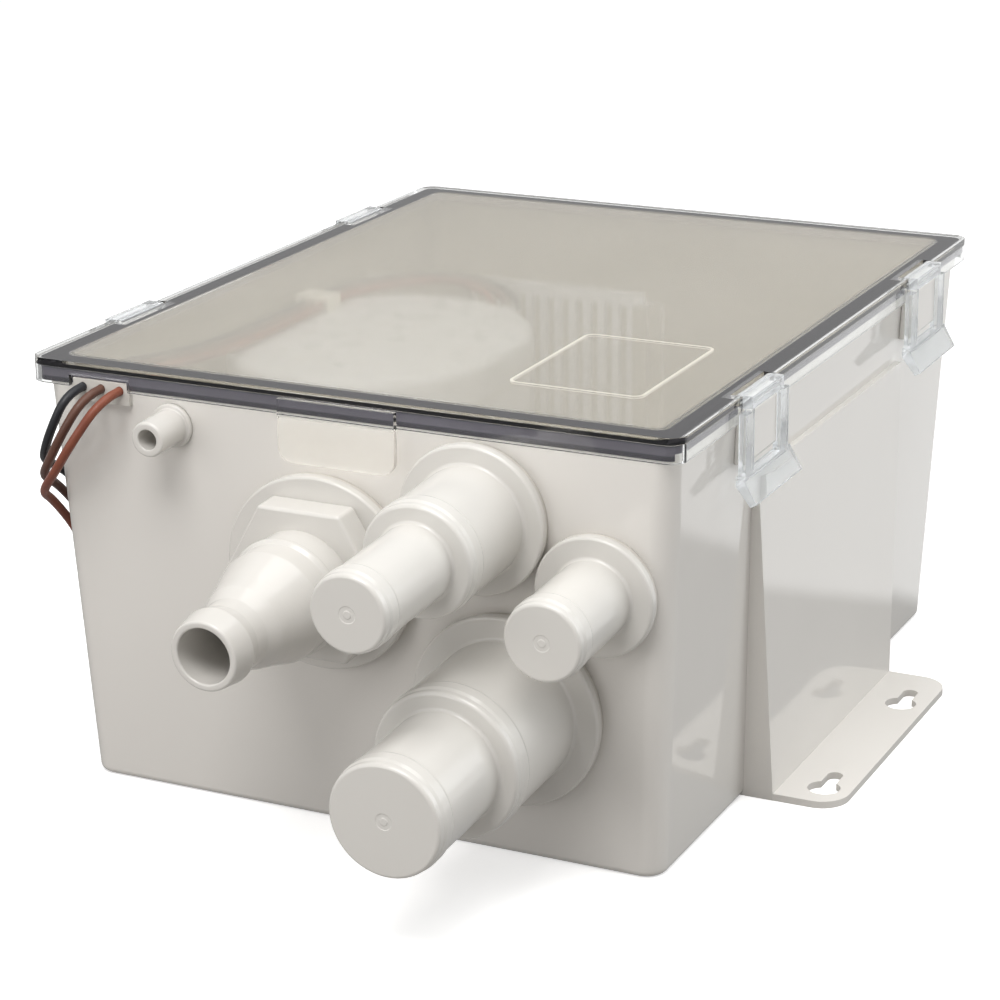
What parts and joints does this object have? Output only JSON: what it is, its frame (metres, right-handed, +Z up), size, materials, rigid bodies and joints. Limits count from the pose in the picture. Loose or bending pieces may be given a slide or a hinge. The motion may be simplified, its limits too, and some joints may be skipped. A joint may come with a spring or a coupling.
{
  "type": "shower sump pump",
  "caption": "Rectangular tub under a clear latched lid, with stepped hose inlets and a barbed discharge on the front, side feet, and a float-switched pump and filter inside.",
  "frame": {"origin": "centre of the tub's flat underside", "axes": "+Z up; -Y towards the front wall with the hose fittings; +X towards the wall on the right as seen from the front"},
  "size_m": [0.2436, 0.2932, 0.1192],
  "materials": {
    "tub_plastic": "glossy moulded, warm off-white",
    "clear_plastic": "clear, glossy",
    "seal_rubber": "matt, charcoal",
    "fitting_plastic": "satin moulded, white",
    "pump_plastic": "satin moulded, white",
    "valve_rubber": "matt, black",
    "hose_rubber": "matt, pale grey",
    "stainless_steel": "brushed",
    "magnet": "matt, dark grey",
    "rotor_iron": "lacquered laminations",
    "brass": "plain",
    "carbon": "matt, carbon",
    "lead_black": "satin insulation, black",
    "lead_brown": "satin insulation, dark brown",
    "lead_red": "satin insulation, red-brown"
  },
  "bodies": {
    "root": {"tub": "tub_plastic", "foot_right": "tub_plastic", "foot_left": "tub_plastic", "latch_lugs": "tub_plastic", "inlet_seal_upper": "seal_rubber", "inlet_seal_right": "seal_rubber", "inlet_seal_lower": "seal_rubber", "discharge_seal": "seal_rubber", "cap_seal": "seal_rubber", "shaft_seal": "seal_rubber", "wire_grommet": "seal_rubber", "inlet_upper": "fitting_plastic", "inlet_right": "fitting_plastic", "inlet_lower": "fitting_plastic", "inlet_nut_upper": "fitting_plastic", "inlet_nut_right": "fitting_plastic", "inlet_nut_lower": "fitting_plastic", "discharge_fitting": "fitting_plastic", "discharge_nut": "fitting_plastic", "valve_seat": "fitting_plastic", "vent_nipple": "fitting_plastic", "wire_clip": "fitting_plastic", "coil_tie": "fitting_plastic", "strainer_base": "pump_plastic", "pump_shell": "pump_plastic", "pump_cap": "pump_plastic", "volute": "pump_plastic", "motor_end_cap": "pump_plastic", "float_tube": "pump_plastic", "float_stop": "pump_plastic", "level_switch": "pump_plastic", "riser_hose": "hose_rubber", "hose_clamps": "stainless_steel", "base_screws": "stainless_steel", "check_flap_pin": "stainless_steel", "motor_can": "stainless_steel", "magnets": "magnet", "motor_bushes": "brass", "motor_brushes": "carbon", "lead_black": "lead_black", "coil_black": "lead_black", "lead_brown": "lead_brown", "coil_brown": "lead_brown", "lead_red": "lead_red", "coil_red": "lead_red", "leads_inside": "lead_black"},
    "lid": {"lid": "clear_plastic", "lid_gasket": "seal_rubber"},
    "latch_front_right": {"latch_front_right": "clear_plastic"},
    "latch_rear_right": {"latch_rear_right": "clear_plastic"},
    "latch_front_left": {"latch_front_left": "clear_plastic"},
    "latch_rear_left": {"latch_rear_left": "clear_plastic"},
    "screen": {"filter_screen": "fitting_plastic"},
    "rotor": {"impeller": "pump_plastic", "motor_shaft": "stainless_steel", "armature": "rotor_iron", "commutator": "brass"},
    "float": {"level_float": "pump_plastic", "float_magnet": "magnet"},
    "valve_flap": {"check_flap": "valve_rubber"}
  },
  "joints": [
    {"name": "lid_lift", "type": "slide", "parent": "root", "child": "lid", "axis": [0, 0, 1], "range_m": [0, 0.03]},
    {"name": "latch_front_right_swing", "type": "hinge", "parent": "lid", "child": "latch_front_right", "pos_m": [0.0906, -0.0625, 0.1175], "axis": [0, -1, 0], "range_deg": [0, 90]},
    {"name": "latch_rear_right_swing", "type": "hinge", "parent": "lid", "child": "latch_rear_right", "pos_m": [0.0906, 0.068, 0.1175], "axis": [0, -1, 0], "range_deg": [0, 90]},
    {"name": "latch_front_left_swing", "type": "hinge", "parent": "lid", "child": "latch_front_left", "pos_m": [-0.0906, -0.0625, 0.1175], "axis": [0, 1, 0], "range_deg": [0, 90]},
    {"name": "latch_rear_left_swing", "type": "hinge", "parent": "lid", "child": "latch_rear_left", "pos_m": [-0.0906, 0.068, 0.1175], "axis": [0, 1, 0], "range_deg": [0, 90]},
    {"name": "screen_lift", "type": "slide", "parent": "root", "child": "screen", "axis": [0, 0, 1], "range_m": [0, 0.024]},
    {"name": "rotor_spin", "type": "hinge", "parent": "root", "child": "rotor", "pos_m": [-0.043, 0, 0.06], "axis": [0, 0, 1], "continuous": true},
    {"name": "float_rise", "type": "slide", "parent": "root", "child": "float", "axis": [0, 0, 1], "range_m": [0, 0.016]},
    {"name": "valve_flap_swing", "type": "hinge", "parent": "root", "child": "valve_flap", "pos_m": [-0.007, -0.10458, 0.08124], "axis": [-1, 0, 0], "range_deg": [0, 55]}
  ],
  "couplings": [
    {"joint": "latch_front_right_swing", "follows": "lid_lift", "rad_per_m": 52.359},
    {"joint": "latch_rear_right_swing", "follows": "lid_lift", "rad_per_m": 52.359},
    {"joint": "latch_front_left_swing", "follows": "lid_lift", "rad_per_m": 52.359},
    {"joint": "latch_rear_left_swing", "follows": "lid_lift", "rad_per_m": 52.359},
    {"joint": "screen_lift", "follows": "lid_lift", "ratio": 0.8}
  ]
}
